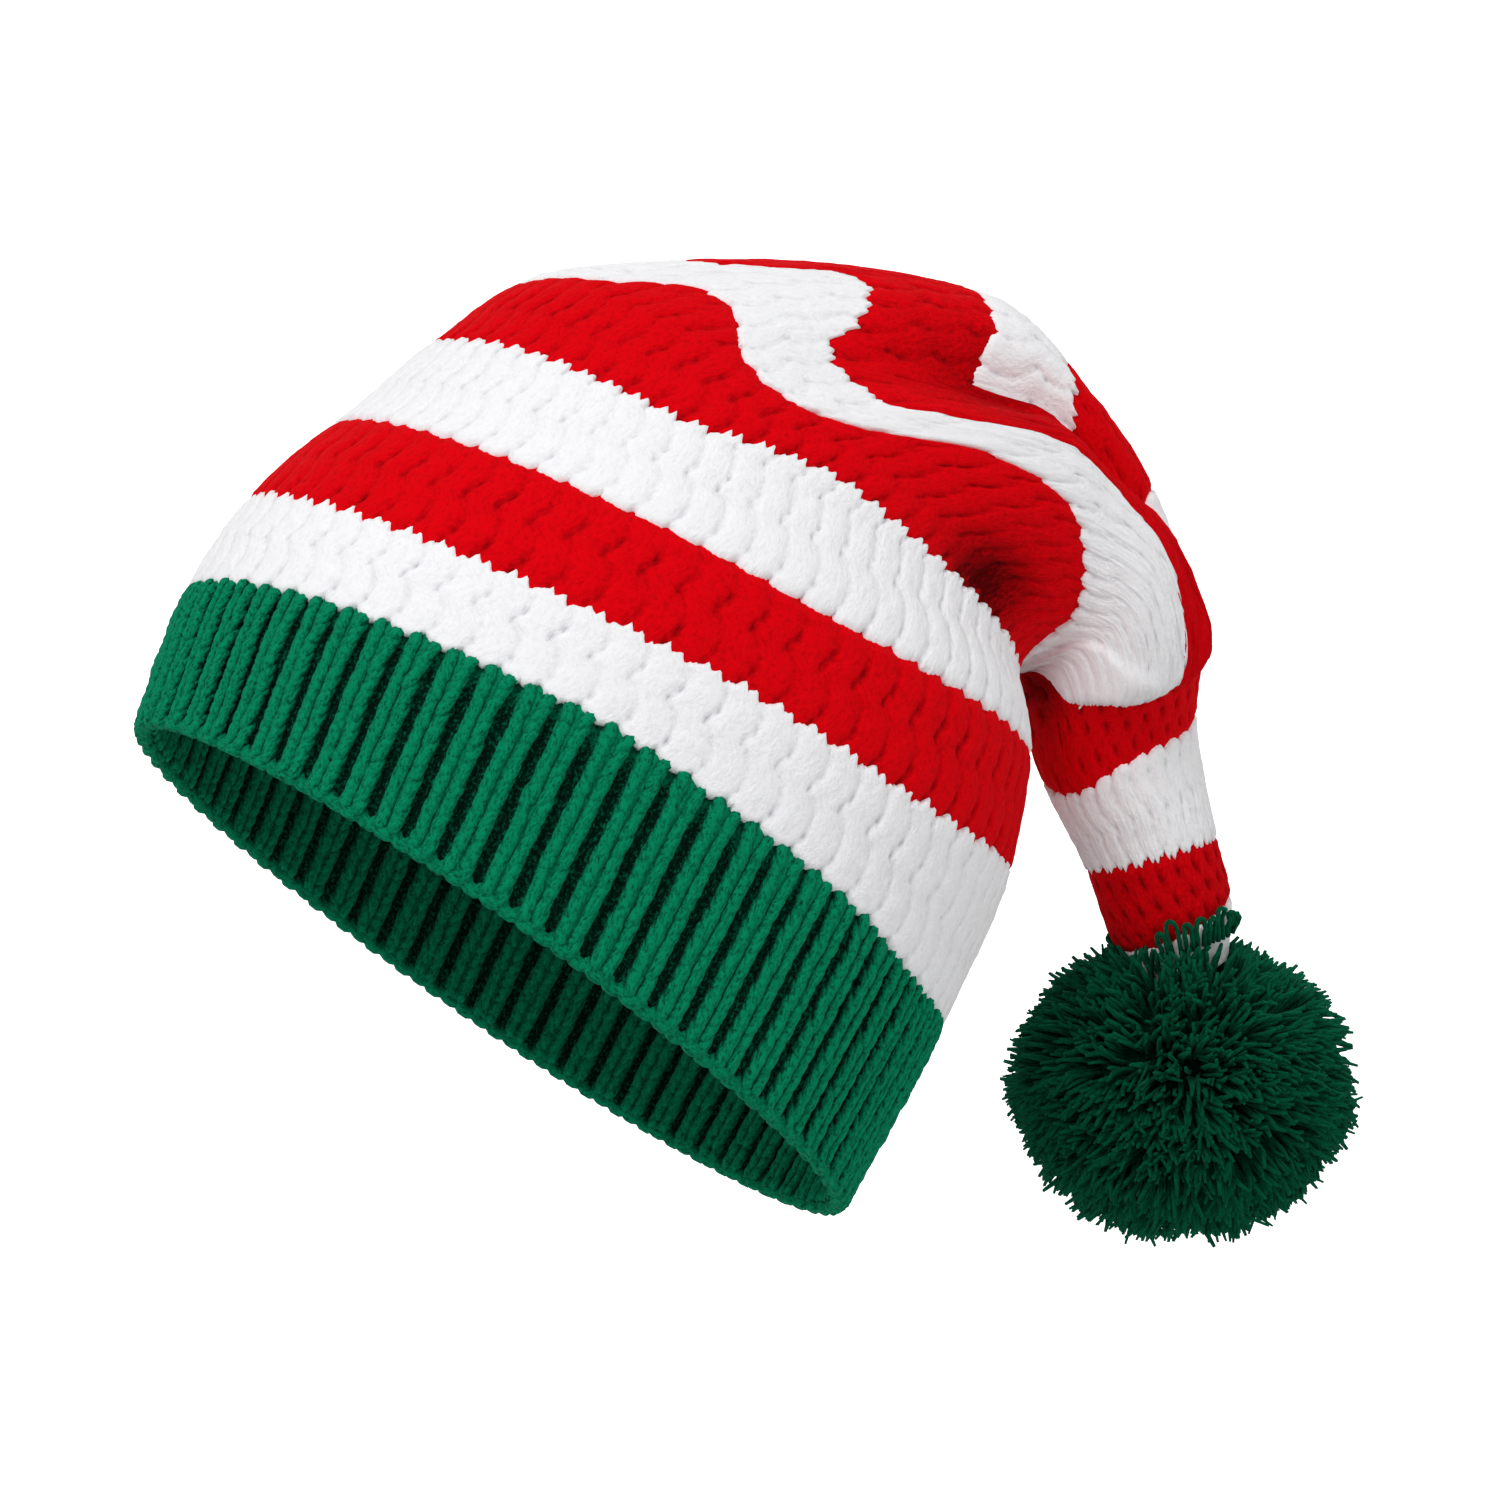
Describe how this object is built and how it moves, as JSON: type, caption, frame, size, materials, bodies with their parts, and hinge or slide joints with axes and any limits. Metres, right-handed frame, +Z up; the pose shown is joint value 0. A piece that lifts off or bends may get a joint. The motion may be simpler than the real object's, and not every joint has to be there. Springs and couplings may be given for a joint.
{
  "type": "knitted santa hat",
  "caption": "Long striped knitted hat with a ribbed brim, worn with its tapering end folded over the back and hanging down to a yarn pompom.",
  "frame": {"origin": "middle of the rim's opening, where the hat sits on a head", "axes": "+X towards the back of the hat, +Y towards its left side as worn, +Z up as worn, with the rim tilted back about 35 degrees"},
  "size_m": [0.3353, 0.1777, 0.2599],
  "materials": {
    "green_yarn": "matt green acrylic yarn, knitted in one by one rib",
    "white_yarn": "matt white acrylic yarn, knitted in an openwork tuck rib",
    "red_yarn": "matt red acrylic yarn, knitted in an openwork tuck rib",
    "pompom_yarn": "matt dark green cut yarn, standing on end"
  },
  "bodies": {
    "root": {"brim": "green_yarn", "white_stripe_1": "white_yarn", "red_stripe_1": "red_yarn", "white_stripe_2": "white_yarn", "red_stripe_2": "red_yarn", "white_stripe_3": "white_yarn", "red_stripe_3": "red_yarn", "white_stripe_4": "white_yarn", "red_stripe_4": "red_yarn", "white_stripe_5": "white_yarn", "red_stripe_5": "red_yarn", "white_stripe_6": "white_yarn", "red_stripe_6": "red_yarn", "white_stripe_7": "white_yarn", "pompom": "pompom_yarn"}
  },
  "joints": []
}
